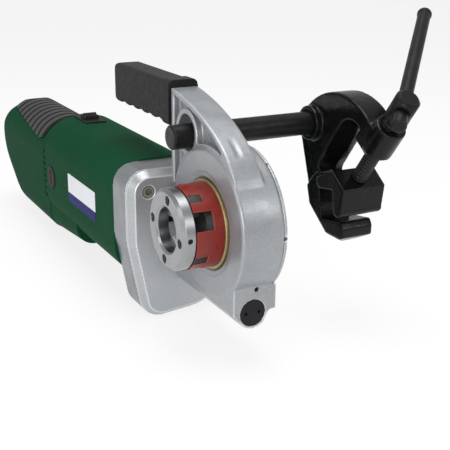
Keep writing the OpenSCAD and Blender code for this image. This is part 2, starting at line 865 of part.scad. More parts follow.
// Slot in the barrel's top for the stem of the direction switch
module switch_slot() {
    len = stem_len + switch_travel + 2 * free_gap;
    translate([-switch_x - len / 2, motor_axis_y - stem_w / 2 - free_gap, top_z - 2 * shell_wall])
        cube([len, stem_w + 2 * free_gap, 4 * shell_wall]);
}

// Half of the rear handle; side is -1 for the left shell and 1 for the right one
module handle_shell(side) {
    color(green) difference() {
        union() {
            difference() {
                handle_form(0);
                handle_form(shell_wall);
            }
            intersection() {
                handle_form(1);
                union() {
                    for (place = handle_screw_places())
                        bar_y(place, -200, 200, handle_screw_r + 4);
                    bar_y([-trigger_pin_x, trigger_pin_z], -200, 200, trigger_pin_r + 3.5);
                }
            }
        }
        trigger_slot();
        translate([-handle_end - through, handle_y - (side > 0 ? 200 : 0), -200])
            cube([handle_len + 2 * through, 200, 400]);
        bar_x([handle_y, inlet_z], -handle_end - through, -handle_end + 30, inlet_r);
        for (place = handle_screw_places()) {
            bar_y(place, handle_y - handle_w / 2 + 9, 200, handle_screw_r + seat_fit);
            bar_y(place, handle_y + handle_w / 2 - 7, 200, handle_screw_r + 2.4);
        }
        bar_y([-trigger_pin_x, trigger_pin_z], handle_y - trigger_pin_len / 2,
              handle_y + trigger_pin_len / 2, trigger_pin_r + seat_fit);
    }
}

module handle_shell_left() {
    handle_shell(-1);
}

module handle_shell_right() {
    handle_shell(1);
}

// Places of the handle screws in [X, Z]
function handle_screw_places() =
    [[-shoulder_end - 14, -motor_axis_drop - 24], [-shoulder_end - 14, -motor_axis_drop + 26],
     [-handle_end + 62, -motor_axis_drop - 20], [-handle_end + 34, -motor_axis_drop + 26]];

// Room for the trigger paddle in the bottom of the handle
module trigger_slot() {
    half = trigger_w / 2 + free_gap;
    translate([-trigger_x - trigger_len - 2, handle_y - half, handle_z_low - 20])
        cube([trigger_len + 4, 2 * half, 42]);
}

// Ribbed black saddle over the top of the handle
module handle_saddle() {
    color(rubber) difference() {
        intersection() {
            union() {
                handle_form(-saddle_t / 2);
                intersection() {
                    handle_form(-saddle_t);
                    saddle_slices();
                }
            }
            along_y(-200, 200) saddle_side();
        }
        handle_form(0);
    }
}

// Side outline of the saddle in [X, Z]; it reaches lower at the front
module saddle_side() {
    front = -saddle_x;
    back = -saddle_x - saddle_len;
    high = handle_z_top + 2 * saddle_t;
    polygon([[front, high], [front, handle_z_top - 20], [front - 12, handle_z_top - 24],
             [back, handle_z_top - 8], [back, high]]);
}

// Slices that raise the saddle's ribs
module saddle_slices() {
    pitch = saddle_len / saddle_ribs;
    for (i = [0 : saddle_ribs - 1])
        translate([-saddle_x - (i + 0.85) * pitch, -200, -200]) cube([pitch * 0.7, 400, 400]);
}

// Screws that hold the two handle shells together
module handle_screws() {
    color(dark_steel) for (place = handle_screw_places()) {
        bar_y(place, handle_y - handle_w / 2 + 10, handle_y + handle_w / 2 - 5, handle_screw_r);
        bar_y(place, handle_y + handle_w / 2 - 7, handle_y + handle_w / 2 - 3.5, handle_screw_r + 2);
    }
}

// Switch block on a strap that reaches both shells
module switch_module() {
    block_x = -trigger_x - 62;
    block_z = handle_z_low + 26;
    strap_half = handle_w / 2 - shell_wall;
    color(black) translate([block_x, handle_y - 15, block_z]) cube([46, 30, 34]);
    color(steel) translate([block_x + 8, handle_y - strap_half, block_z + 14])
        cube([30, 2 * strap_half, 3]);
    color(steel) bar_y([block_x + 23, block_z + 15.5], handle_y - 8, handle_y + 8, 4);
}

// Pin that the trigger swings on
module trigger_pin() {
    color(steel) bar_y([-trigger_pin_x, trigger_pin_z], handle_y - trigger_pin_len / 2,
                       handle_y + trigger_pin_len / 2, trigger_pin_r);
}

// Gland for the cord in the stern of the handle
module cord_inlet() {
    axis = [handle_y, inlet_z];
    color(rubber) difference() {
        union() {
            bar_x(axis, -handle_end - 12, -handle_end + 10, inlet_r - seat_fit);
            bar_x(axis, -handle_end - 12, -handle_end - 6, inlet_r + 2);
        }
        bar_x(axis, -handle_end - 13, -handle_end + 11, 5);
    }
}

// Low plate that the direction switch slides on
module switch_plate() {
    len = stem_len + switch_travel + 2 * free_gap;
    color(black) difference() {
        translate([-switch_x - 28, motor_axis_y - 13, top_z]) cube([52, 26, switch_plate_t]);
        translate([-switch_x - len / 2, motor_axis_y - stem_w / 2 - free_gap, top_z - through])
            cube([len, stem_w + 2 * free_gap, switch_plate_t + 2 * through]);
    }
}

// Slider that picks the turning direction; its foot hooks under the barrel's top
module direction_switch() {
    half = stem_len / 2;
    knob_z = top_z + switch_plate_t + free_gap;
    foot_z = top_z - shell_wall - free_gap - 2;
    color(black) {
        translate([-switch_x - half, motor_axis_y - stem_w / 2, foot_z])
            cube([stem_len, stem_w, knob_z - foot_z + 1]);
        translate([-switch_x - half, motor_axis_y - stem_w, foot_z]) cube([stem_len, 2 * stem_w, 2]);
        translate([-switch_x - half - 4, motor_axis_y - 9, knob_z]) cube([stem_len + 8, 18, 4]);
        bar_y([-switch_x, knob_z + 3.5], motor_axis_y - 8, motor_axis_y + 8, 3);
    }
}

// Paddle under the handle that swings up about its rear end
module trigger() {
    half = trigger_w / 2;
    top = handle_z_low + 7;
    low = handle_z_low - 7;
    color(black) difference() {
        union() {
            translate([0, handle_y, 0]) along_y(-half, half) {
                polygon([[-trigger_x - 1, top], [-trigger_x - 1, low + 5], [-trigger_x - 8, low],
                         [-trigger_pin_x + 16, low + 2], [-trigger_pin_x, handle_z_low + 3],
                         [-trigger_pin_x, top + 6], [-trigger_pin_x + 14, top]]);
                translate([-trigger_pin_x, trigger_pin_z]) circle(6);
            }
            translate([-trigger_x - 30, handle_y - 4, top - 1]) cube([6, 8, 9]);
        }
        bar_y([-trigger_pin_x, trigger_pin_z], handle_y - half - through,
              handle_y + half + through, trigger_pin_r + run_fit);
    }
}

// Top grip with a collar and finger hollows, pushed over the tongue of the arm
module top_grip() {
    grip_corner_r = 5;
    hollow_r = 15;
    hollow_drop = 11;
    pitch = (grip_len - 12) / finger_hollows;
    low = [arm_mid_y - grip_w / 2, grip_low_z];
    high = [arm_mid_y + grip_w / 2, grip_top_z];
    color(rubber) difference() {
        union() {
            intersection() {
                along_x(-grip_end, -collar_x) round_rect(low, high, grip_corner_r);
                along_y(-100, 200) round_rect([-grip_end, grip_low_z], [0, grip_top_z], 8);
            }
            along_x(-collar_x, -face_x)
                round_rect(low - collar_lip * [1, 1], high + collar_lip * [1, 1],
                           grip_corner_r + collar_lip);
        }
        for (i = [0 : finger_hollows - 1])
            bar_y([-collar_x - (i + 0.5) * pitch - 2, grip_low_z - hollow_drop], -100, 200, hollow_r);
        grip_tang(seat_fit);
        bar_x([arm_mid_y, grip_low_z + 22], -grip_end - through, -grip_end + 20, grip_bolt_r);
        bar_x([arm_mid_y, grip_low_z + 22], -grip_end - through, -grip_end + 4, grip_bolt_r + 3.5);
    }
}

// Bolt that holds the grip on the tongue
module grip_bolt() {
    color(dark_steel) {
        bar_x([arm_mid_y, grip_low_z + 22], -grip_end + 1, -grip_end + 39, grip_bolt_r - seat_fit);
        bar_x([arm_mid_y, grip_low_z + 22], -grip_end + 0.5, -grip_end + 4, grip_bolt_r + 3);
    }
}

// Toothed ring that carries the die head
module drive_ring() {
    hub_front = drum_front_wall + free_gap;
    hub_back = cover_y - cover_spigot - free_gap;
    color(zinc) difference() {
        union() {
            turn_y() translate([ring_inner_r, ring_front])
                square([ring_outer_r - ring_inner_r, ring_back - ring_front]);
            turn_y() translate([ring_inner_r, hub_front])
                square([hub_r - ring_inner_r, hub_back - hub_front]);
            along_y(rim_y, rim_y + ring_rim_w) rotate(-90 + 180 / ring_teeth)
                polygon(gear_points(ring_teeth, worm_module, 0.62, 0.24));
        }
        bar_y([0, 0], -through, 2 * drum_depth, ring_inner_r);
    }
}

// Body of the die head, with slots for the dies and windows for the chips
module die_head_body() {
    color(red) difference() {
        turn_y() translate([die_core_r, die_front])
            square([die_body_r - die_core_r, ring_back - die_front]);
        turn_y() translate([0, die_window_back + 3]) square([die_body_r - 6, ring_back]);
        rotate([0, -cover_screw_angle, 0]) round_die() {
            bar_y([cover_screw_ring_r, 0], die_front - through,
                  die_front + die_screw_depth, cover_screw_r);
            rotate([0, die_offset_angle, 0])
                translate([0, die_front - through, -die_w / 2 - seat_fit])
                cube([2 * die_body_r, die_len + through, die_w + 2 * seat_fit]);
            rotate([0, window_offset_angle, 0])
                translate([die_core_r - 4, die_front - through, -window_w / 2])
                cube([die_body_r, die_window_back - die_front + through, window_w]);
        }
    }
}

// Thread cutting dies with a toothed front edge
module dies() {
    tooth = 2.3;
    crest = pipe_r + 0.9;
    root = crest + 1.5;
    teeth = 4;
    edge = [for (i = [0 : teeth - 1])
        each [[root, die_front + 1 + i * tooth], [crest, die_front + 1 + (i + 0.5) * tooth]]];
    outline = concat([[die_body_r - 0.8, die_front]], [[root, die_front]], edge,
                     [[root, die_front + die_len - seat_fit],
                      [die_body_r - 0.8, die_front + die_len - seat_fit]]);
    color(dark_steel) rotate([0, -cover_screw_angle, 0]) round_die() rotate([0, die_offset_angle, 0])
        translate([0, 0, -die_w / 2]) linear_extrude(die_w) polygon(outline);
}

// Front disc of the die head
module die_cover() {
    chamfer = 3;
    color(steel) difference() {
        turn_y() polygon([[cover_bore_r, -die_reach + 2], [cover_bore_r + 2, -die_reach],
                          [cover_r - chamfer, -die_reach], [cover_r, -die_reach + chamfer],
                          [cover_r, die_front - 1], [cover_r - 1, die_front], [cover_bore_r, die_front]]);
        rotate([0, -cover_screw_angle, 0]) round_die() {
            bar_y([cover_screw_ring_r, 0], -die_reach - through,
                  die_front + through, cover_screw_r + 0.1);
            bar_y([cover_screw_ring_r, 0], -die_reach - through,
                  -die_reach + cover_t / 2, cover_screw_r + 1.6);
        }
        bar_x([-die_reach + cover_t / 2, 0], cover_r - 8, cover_r + 12, 2.5);
    }
}

// Socket head screws of the cover disc
module die_cover_screws() {
    color(dark_steel) rotate([0, -cover_screw_angle, 0]) round_die() difference() {
        union() {
            bar_y([cover_screw_ring_r, 0], -die_reach + cover_t / 2 - 1,
                  die_front + die_screw_depth - 1, cover_screw_r - seat_fit);
            bar_y([cover_screw_ring_r, 0], -die_reach + 1.5,
                  -die_reach + cover_t / 2, cover_screw_r + 1.5);
        }
        translate([cover_screw_ring_r, -die_reach + 1, 0]) rotate([-90, 0, 0])
            cylinder(h = 3, r = cover_screw_r * 0.85, $fn = 6);
    }
}

// Zinc ring that keeps the die head in the drive ring
module die_head_clip() {
    clip_front = ring_front - 1.8;
    color(zinc) turn_y() polygon([[die_body_r + seat_fit, clip_front],
                                  [ring_outer_r - 1.3, clip_front],
                                  [ring_outer_r - 0.5, clip_front + 0.8], [ring_outer_r - 0.5, ring_front],
                                  [die_body_r + seat_fit, ring_front]]);
}

// Worm shaft with a single start right hand thread
module worm_shaft() {
    turns = worm_len / worm_lead;
    start = 90 - 180 * turns;
    step = 30;
    section = [for (a = [0 : step : 360 - step]) worm_radius(a) * [cos(a), sin(a)]];
    color(steel) {
        translate([-worm_len / 2, worm_y, worm_z]) rotate([90, 0, 90])
            linear_extrude(worm_len, twist = -360 * turns, slices = ceil(12 * turns), $fn = 12)
            rotate(start) polygon(section);
        bar_x(worm_axis, -plate_x + bearing_w + free_gap, nose_bearing_x - free_gap, worm_root_r - 0.2);
        bar_x(worm_axis, -stage2_x - stage2_w - 1, nose_bearing_x + bearing_w - 0.5, worm_shaft_r);
    }
}

// Wheel on the end of the worm shaft
module worm_wheel() {
    color(dark_steel) difference() {
        gear_x(worm_axis, -stage2_x - stage2_w, stage2_w, worm_wheel_teeth, stage2_module, wheel_phase);
        bar_x(worm_axis, -gearcase_x, 0, worm_shaft_r + seat_fit);
    }
}

// Idler shaft with its pinion cut in one piece
module idler_shaft() {
    color(steel) {
        bar_x(idler_axis, -gearcase_x + gear_plate_t - bearing_w + free_gap,
              -plate_x + bearing_w - free_gap, idler_shaft_r);
        gear_x(idler_axis, -stage2_x - stage2_w, stage2_w,
               idler_pinion_teeth, stage2_module, small_phase);
    }
}

// Wheel driven by the motor pinion
module idler_wheel() {
    color(dark_steel) difference() {
        gear_x(idler_axis, -stage1_x - stage1_w, stage1_w, idler_teeth, stage1_module, idler_phase);
        bar_x(idler_axis, -gearcase_x, 0, idler_shaft_r + seat_fit);
    }
}

// Armature shaft with the motor pinion
module armature_shaft() {
    color(steel) {
        bar_x(motor_axis, -barrel_end + 2, -gearcase_x + gear_plate_t - 1, shaft_r);
        bar_x(motor_axis, -barrel_end - rear_bearing_w + free_gap, -barrel_end + 3, shaft_r - 2);
        gear_x(motor_axis, -gearcase_x + gear_plate_t - 1.5, gearcase_x - gear_plate_t + 1.5 - stage1_x,
               pinion_teeth, stage1_module, pinion_phase);
    }
}

// Laminated core with its winding heads
module armature_core() {
    x0 = -stator_x - stator_len + 4;
    x1 = -stator_x - 4;
    color(dark_steel) tube_x(motor_axis, x0, x1, armature_r, shaft_r + seat_fit);
    color(copper) {
        tube_x(motor_axis, x0 - 14, x0, armature_r - 5, shaft_r + seat_fit);
        tube_x(motor_axis, x1, x1 + 14, armature_r - 5, shaft_r + seat_fit);
    }
}

// Commutator under the brushes
module commutator() {
    color(copper) tube_x(motor_axis, -brush_x - 10, -brush_x + 10, commutator_r, shaft_r + seat_fit);
}

// Fan that draws air through the motor
module cooling_fan() {
    blades = 11;
    x0 = -gearcase_x - plate_spigot - 22;
    color(black) difference() {
        union() {
            bar_x(motor_axis, x0, x0 + 3, stator_r - 3);
            bar_x(motor_axis, x0, x0 + 18, shaft_r + 5);
            for (i = [0 : blades - 1])
                translate([x0, motor_axis[0], motor_axis[1]]) rotate([i * 360 / blades, 0, 0])
                    translate([0, -1, shaft_r]) cube([15, 2, stator_r - 4 - shaft_r]);
        }
        bar_x(motor_axis, x0 - through, x0 + 20, shaft_r + seat_fit);
    }
}

// Bar that carries the clamp and passes through the arm's loose hole
module support_rod() {
    bevel = 1.5;
    color(steel) difference() {
        translate([rod_x, -rod_front, rod_z]) rotate([-90, 0, 0]) rotate_extrude()
            polygon([[0, 0], [rod_r - bevel, 0], [rod_r, bevel], [rod_r, rod_len - bevel],
                     [rod_r - bevel, rod_len], [0, rod_len]]);
        rod_pin_form(rod_pin_r + seat_fit);
    }
}

// Cross pin form shared by the rod, the sleeve and the pin
module rod_pin_form(r) {
    clamp_frame() translate([rod_u, -yoke_t / 2 - sleeve_front / 2, rod_v])
        translate([-sleeve_r + 1, 0, 0]) rotate([0, 90, 0]) cylinder(h = 2 * sleeve_r - 2, r = r);
}

module rod_pin() {
    color(steel) rod_pin_form(rod_pin_r);
}

// Cast yoke: arch, rod sleeve, threaded boss and V hook
module clamp_yoke() {
    color(black) difference() {
        union() {
            clamp_frame() {
                along_y(-yoke_t / 2, yoke_t / 2) difference() {
                    arch_section();
                    throat();
                    hook_vee();
                }
                difference() {
                    along_y(-hook_w / 2, hook_w / 2) difference() {
                        polygon(hook_points());
                        throat();
                        hook_vee();
                    }
                    hook_keel();
                }
                translate([boss_u0, 0, 0]) rotate([0, 90, 0])
                    cylinder(h = boss_u1 - boss_u0, r = screw_boss_r);
            }
            bar_y([rod_x, rod_z], clamp_y - yoke_t / 2 - sleeve_front, clamp_y + yoke_t / 2, sleeve_r);
        }
        bar_y([rod_x, rod_z], 0, 2 * clamp_y, rod_r + seat_fit);
        clamp_frame() {
            translate([boss_u0 - 40, 0, 0]) rotate([0, 90, 0])
                cylinder(h = boss_u1 - boss_u0 + 60, r = screw_r + run_fit);
            throat_bevel();
        }
        rod_pin_form(rod_pin_r + seat_fit);
    }
}

// Arch of the yoke in [u, v], cut off along the outside of its leg
module arch_section() {
    intersection() {
        translate([arch_u, arch_v]) circle(yoke_outer_r);
        polygon([[hook_vertex - 5, 30], [42, 133], [2 * yoke_outer_r, 133], [2 * yoke_outer_r, -5],
                 [hook_vertex - 5, -5]]);
    }
}

// Throat of the yoke in [u, v]
module throat(grow = 0) {
    round_rect([1 - grow, -2 * throat_v], [throat_u + 1.5 * grow, throat_v + grow], throat_corner + grow);
}

// Wide bevel round the front of the throat
module throat_bevel() {
    depth = 18;
    hull() {
        along_y(-yoke_t / 2 - hook_w, -yoke_t / 2 + 0.1) leg_side() throat(throat_flare);
        along_y(-yoke_t / 2 + depth, -yoke_t / 2 + depth + 0.1) leg_side() throat();
    }
}

// Keeps the part of an outline that lies beyond the jaw
module leg_side() {
    intersection() {
        children();
        translate([8, 20]) square(2 * yoke_outer_r);
    }
}

// Outline of the hook in [u, v]
function hook_points() =
    let (s = 1.5 * pipe_r)
    let (top = 1.84 * pipe_r)
    [[hook_vertex, 0], [hook_vertex + s, -s], [hook_vertex + s - 3, -s - 8], [hook_vertex + 14, -s - 13],
     [hook_vertex - 2, -s - 6], [hook_vertex - 5, -16], [hook_vertex - 5, 24], [hook_vertex + 7, 40],
     [hook_vertex + top - 4, top + 8], [hook_vertex + top, top]];

// Slopes that round off the underside of the hook at both of its ends
module hook_keel() {
    for (side = [-1, 1])
        translate([0, side * hook_w / 8, 0]) rotate([0, screw_angle, 0])
            translate([0, 0, -2.45 * pipe_r]) rotate([side * 32, 0, 0])
            translate([-4 * pipe_r, side > 0 ? 0 : -hook_w, -hook_w]) cube([8 * pipe_r, hook_w, hook_w]);
}

// Wedge that the pipe lies in
module hook_vee() {
    translate([hook_vertex, 0]) rotate(-45) square(2.6 * pipe_r);
}

// Outline of the jaw in [u, v]: two arms with round ends that slope up to a flat top
module jaw_section(inset = 0) {
    reach = 1.25 * pipe_r / sqrt(2);
    // The flats run a little past the round ends, so that the two shapes overlap
    past = 0.8;
    end_r = 0.65 * jaw_t;
    top_half = 13 - inset;
    middle = [jaw_vertex - reach, reach] + end_r / sqrt(2) * [1, 1];
    slope = atan2(middle[1] - top_half, jaw_top - middle[0]);
    outer = middle + (end_r - inset) * [sin(slope), cos(slope)] + past * [-cos(slope), sin(slope)];
    inner = [jaw_vertex - reach - past, reach + past];
    for (side = [-1, 1])
        translate([middle[0], side * middle[1]]) circle(end_r - inset);
    polygon([[jaw_vertex, 0], [inner[0], -inner[1]], [middle[0], -middle[1]], [outer[0], -outer[1]],
             [jaw_top, -top_half], [jaw_top, top_half], outer, middle, inner]);
}

// Moving jaw, an angle section with a boss for the screw's tip
module clamp_jaw() {
    color(black) clamp_frame() difference() {
        along_y(-jaw_len / 2, jaw_len / 2) jaw_section();
        translate([jaw_top - tip_len, 0, 0]) rotate([0, 90, 0])
            cylinder(h = 2 * tip_len, r = tip_r + run_fit);
        jaw_pin_form(jaw_pin_r + seat_fit);
    }
}

// Pin form that crosses the jaw's boss beside the screw's groove
module jaw_pin_form(r) {
    translate([jaw_top - tip_len / 2, tip_r, -jaw_half]) cylinder(h = 2 * jaw_half, r = r);
}

module jaw_pin() {
    color(steel) clamp_frame() intersection() {
        jaw_pin_form(jaw_pin_r);
        along_y(-14, 14) jaw_section(0.2);
    }
}

// Clamp screw with a groove in its tip and a cross hole in its head
module clamp_screw() {
    mid = jaw_top - tip_len / 2;
    groove = jaw_pin_r + free_gap;
    neck_r = tip_r - jaw_pin_r - free_gap;
    color(steel) clamp_frame() difference() {
        rotate([0, 90, 0]) rotate_extrude()
            polygon([[0, jaw_top - tip_len + free_gap], [tip_r, jaw_top - tip_len + free_gap],
                     [tip_r, mid - groove], [neck_r, mid - groove],
                     [neck_r, mid + groove], [tip_r, mid + groove],
                     [tip_r, jaw_top + free_gap], [screw_r, jaw_top + free_gap + 1], [screw_r, head_u0],
                     [head_r - 1, head_u0], [head_r, head_u0 + 1],
                     [head_r, head_u1 - 3], [head_r - 3, head_u1],
                     [0, head_u1]]);
        bar_form(bar_r + run_fit, 3 * head_r, 6 * head_r);
    }
}

// Cylinder along the sliding bar's axis
module bar_form(r, low, len) {
    translate([bar_u, 0, 0]) rotate([-bar_angle, 0, 0]) translate([0, 0, -low]) cylinder(h = len, r = r);
}

// Sliding bar with swollen, rounded ends
module tommy_bar() {
    knob = bar_r + 0.8;
    color(black) clamp_frame()
        translate([bar_u, 0, 0]) rotate([-bar_angle, 0, 0]) translate([0, 0, -bar_low]) rotate_extrude()
        polygon([[0, 0], [knob - 2.5, 0], [knob - 0.7, 0.8], [knob, 2.5], [knob, 4.5], [bar_r, 5.5],
                 [bar_r, bar_len - 5.5], [knob, bar_len - 4.5], [knob, bar_len - 2.5],
                 [knob - 0.7, bar_len - 0.8], [knob - 2.5, bar_len], [0, bar_len]]);
}

drive_housing();
face_plate();
rear_cover();
rear_cover_screws();
housing_screws();
worm_plug();
worm_bearings();
gearcase();
gear_plate();
idler_bushes();
motor_housing();
stator();
motor_bearings();
brush_holders();
brushes();
brush_caps();
handle_shell_left();
handle_shell_right();
handle_saddle();
handle_screws();
switch_module();
trigger_pin();
cord_inlet();
switch_plate();
top_grip();
grip_bolt();
drive_ring();
die_head_body();
dies();
die_cover();
die_cover_screws();
die_head_clip();
worm_shaft();
worm_wheel();
idler_shaft();
idler_wheel();
armature_shaft();
armature_core();
commutator();
cooling_fan();
support_rod();
clamp_yoke();
rod_pin();
clamp_jaw();
clamp_screw();
jaw_pin();
tommy_bar();
trigger();
direction_switch();
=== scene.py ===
"""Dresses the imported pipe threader: materials, softened castings, small pieces, light and a camera."""

import json
import math

import bmesh
import bpy
from mathutils import Matrix, Vector


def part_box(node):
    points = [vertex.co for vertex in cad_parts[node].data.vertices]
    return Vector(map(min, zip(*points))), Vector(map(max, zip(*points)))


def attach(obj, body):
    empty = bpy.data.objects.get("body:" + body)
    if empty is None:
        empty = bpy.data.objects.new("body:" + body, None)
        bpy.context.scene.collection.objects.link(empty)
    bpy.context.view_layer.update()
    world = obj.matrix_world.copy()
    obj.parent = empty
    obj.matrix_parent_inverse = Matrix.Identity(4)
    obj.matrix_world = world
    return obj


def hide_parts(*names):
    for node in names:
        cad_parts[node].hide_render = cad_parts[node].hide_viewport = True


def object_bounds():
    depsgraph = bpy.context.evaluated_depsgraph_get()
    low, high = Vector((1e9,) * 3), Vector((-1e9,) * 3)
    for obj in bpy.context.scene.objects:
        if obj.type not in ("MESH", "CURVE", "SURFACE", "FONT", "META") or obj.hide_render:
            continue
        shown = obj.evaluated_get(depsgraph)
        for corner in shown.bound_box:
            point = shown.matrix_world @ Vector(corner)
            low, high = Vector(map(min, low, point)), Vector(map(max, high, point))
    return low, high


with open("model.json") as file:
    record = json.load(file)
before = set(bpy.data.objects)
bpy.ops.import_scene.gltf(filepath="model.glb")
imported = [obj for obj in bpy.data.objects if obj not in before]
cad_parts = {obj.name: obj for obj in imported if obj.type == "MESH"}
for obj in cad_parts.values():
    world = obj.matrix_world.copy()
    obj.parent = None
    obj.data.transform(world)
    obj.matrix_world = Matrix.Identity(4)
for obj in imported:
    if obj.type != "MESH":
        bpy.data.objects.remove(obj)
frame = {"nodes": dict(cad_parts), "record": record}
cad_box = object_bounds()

MM = 0.001
NODES = frame["nodes"]

# Camera, found by fitting the solids to the photograph
CAMERA_AZIMUTH = 61.436
CAMERA_ELEVATION = 18.812
CAMERA_ROLL = 0.647
CAMERA_PLACE = Vector((697.18, -358.65, 265.99)) * MM
CAMERA_LENS = 69.39

# Sizes that repeat the part's source
DIE_HEAD_R = 41 * MM
SADDLE_RIBS = 9

# Clamp screw, as in the part's source; its starts are measured along its axis from the pipe's axis
CLAMP_Y = 161 * MM
SCREW_ANGLE = math.radians(54)
SCREW_R = 8 * MM
SCREW_PITCH = 4 * MM
THREAD_DEPTH = 0.7 * MM
TIP_START = 29.8 * MM
SHANK_START = 40 * MM
HEAD_START = 123.5 * MM

# Nodes whose edges are softened, with the voxel in millimetres and the rounds of smoothing
SOFTENED = (
    ("drive_housing", 1.12, 3),
    ("face_plate", 0.9, 4),
    ("gearcase", 1.0, 5),
    ("rear_cover", 0.9, 4),
    ("clamp_yoke", 1.0, 16),
    ("clamp_jaw", 0.8, 10),
    ("top_grip", 0.8, 4),
    ("handle_shell_left", 1.2, 3),
    ("handle_shell_right", 1.2, 3),
)

# Lamps: place in metres, width of the disc in metres, watts
LIGHT_TARGET = (-0.12, 0.05, 0)
LAMPS = {
    "top": ((-0.1, 0.1, 1.7), 1.3, 19),
    "left": ((-0.1, -1.7, 0.7), 0.9, 4),
    "front": ((1.2, -1.1, 0.4), 0.8, 11),
    "right": ((1.5, 1.0, 0.9), 0.8, 5),
}


def srgb(red, green, blue):
    """Linear colour of an sRGB colour given from 0 to 255."""
    def linear(value):
        share = value / 255
        return share / 12.92 if share <= 0.04045 else ((share + 0.055) / 1.055) ** 2.4

    return (linear(red), linear(green), linear(blue), 1.0)


class Surface:
    """A Principled material whose sockets are fed by textures in the part's own space."""

    def __init__(self, name, color, roughness, metallic=0.0, specular=0.5, coat=0.0):
        self.material = bpy.data.materials.new(name)
        self.material.use_nodes = True
        self.tree = self.material.node_tree
        self.shader = self.tree.nodes["Principled BSDF"]
        sockets = self.shader.inputs
        sockets["Base Color"].default_value = color
        sockets["Roughness"].default_value = roughness
        sockets["Metallic"].default_value = metallic
        sockets["Specular IOR Level"].default_value = specular
        sockets["Coat Weight"].default_value = coat
        sockets["Coat Roughness"].default_value = 0.12
        self.color = color
        self.color_source = None
        self.normal_source = None
        self.place = self.node("ShaderNodeTexCoord").outputs["Object"]

    def node(self, kind, **settings):
        """A new node with its settings."""
        made = self.tree.nodes.new(kind)
        for key, value in settings.items():
            setattr(made, key, value)
        return made

    def link(self, source, target):
        self.tree.links.new(source, target)

    def noise(self, scale, detail=3.0, stretch=None):
        """Noise from 0 to 1 at a scale per metre, drawn out along an axis where stretch says so."""
        place = self.place
        if stretch is not None:
            mapping = self.node("ShaderNodeMapping")
            mapping.inputs["Scale"].default_value = stretch
            self.link(self.place, mapping.inputs["Vector"])
            place = mapping.outputs["Vector"]
        texture = self.node("ShaderNodeTexNoise")
        texture.inputs["Scale"].default_value = scale
        texture.inputs["Detail"].default_value = detail
        self.link(place, texture.inputs["Vector"])
        return texture.outputs["Fac"]

    def off_axis(self):
        """Distance from the die axis."""
        flat = self.node("ShaderNodeVectorMath", operation="MULTIPLY")
        flat.inputs[1].default_value = (1, 0, 1)
        self.link(self.place, flat.inputs[0])
        length = self.node("ShaderNodeVectorMath", operation="LENGTH")
        self.link(flat.outputs["Vector"], length.inputs[0])
        return length.outputs["Value"]

    def rings(self, scale):
        """Noise along the distance from the die axis, as turning leaves it."""
        texture = self.node("ShaderNodeTexNoise", noise_dimensions="1D")
        texture.inputs["Scale"].default_value = scale
        texture.inputs["Detail"].default_value = 2.0
        self.link(self.off_axis(), texture.inputs["W"])
        return texture.outputs["Fac"]

    def spread(self, value, low, high, start=0.3, end=0.7):
        """Maps a value from start..end to low..high."""
        span = self.node("ShaderNodeMapRange")
        limits = {"From Min": start, "From Max": end, "To Min": low, "To Max": high}
        for key, number in limits.items():
            span.inputs[key].default_value = number
        self.link(value, span.inputs["Value"])
        return span.outputs["Result"]

    def rounded_normal(self, radius):
        """Normal as if every sharp edge had a radius."""
        bevel = self.node("ShaderNodeBevel", samples=6)
        bevel.inputs["Radius"].default_value = radius
        return bevel.outputs["Normal"]

    def edges(self, radius):
        """1 on the convex and concave edges, 0 on the faces, by how far rounding turns the normal."""
        rounded = self.rounded_normal(radius)
        geometry = self.node("ShaderNodeNewGeometry")
        turn = self.node("ShaderNodeVectorMath", operation="DOT_PRODUCT")
        self.link(rounded, turn.inputs[0])
        self.link(geometry.outputs["Normal"], turn.inputs[1])
        return self.spread(turn.outputs["Value"], 0, 1, 0.995, 0.86)

    def bends(self, start, end):
        """1 where a finely meshed surface bends outwards past end, or inwards where end is below start."""
        geometry = self.node("ShaderNodeNewGeometry")
        return self.spread(geometry.outputs["Pointiness"], 0, 1, start, end)

    def grooves(self, front, pitch, half_width=0.14, fade=0.06):
        """1 in grooves across X at every pitch behind front, 0 on the ribs, in shares of the pitch."""
        along = self.node("ShaderNodeSeparateXYZ")
        self.link(self.place, along.inputs["Vector"])
        count = self.spread(along.outputs["X"], 0, 1, front, front - pitch)
        count.node.clamp = False
        wave = self.node("ShaderNodeMath", operation="PINGPONG")
        wave.inputs[1].default_value = 0.5
        self.link(count, wave.inputs[0])
        return self.spread(wave.outputs["Value"], 1, 0, half_width, half_width + fade)

    def seen(self):
        """1 for rays from the camera, straight or through a reflection or glass."""
        path = self.node("ShaderNodeLightPath")
        total = path.outputs["Is Camera Ray"]
        for kind in ("Is Glossy Ray", "Is Transmission Ray"):
            either = self.node("ShaderNodeMath", operation="MAXIMUM")
            self.link(total, either.inputs[0])
            self.link(path.outputs[kind], either.inputs[1])
            total = either.outputs["Value"]
        return total

    def tint(self, factor, color):
        """Mixes the base colour towards another one by a factor."""
        mix = self.node("ShaderNodeMix", data_type="RGBA")
        # The colour sockets of a Mix node have the same names as its others, so they go by number
        first, second, result = mix.inputs[6], mix.inputs[7], mix.outputs[2]
        first.default_value = self.color
        if self.color_source is not None:
            self.link(self.color_source, first)
        second.default_value = color
        self.link(factor, mix.inputs[0])
        self.color_source = result
        self.link(result, self.shader.inputs["Base Color"])

    def roughen(self, value, low, high):
        """Varies the roughness between low and high by a value."""
        self.link(self.spread(value, low, high), self.shader.inputs["Roughness"])

    def round_edges(self, radius):
        """Rounds the shading over sharp edges."""
        self.normal_source = self.rounded_normal(radius)
        self.link(self.normal_source, self.shader.inputs["Normal"])

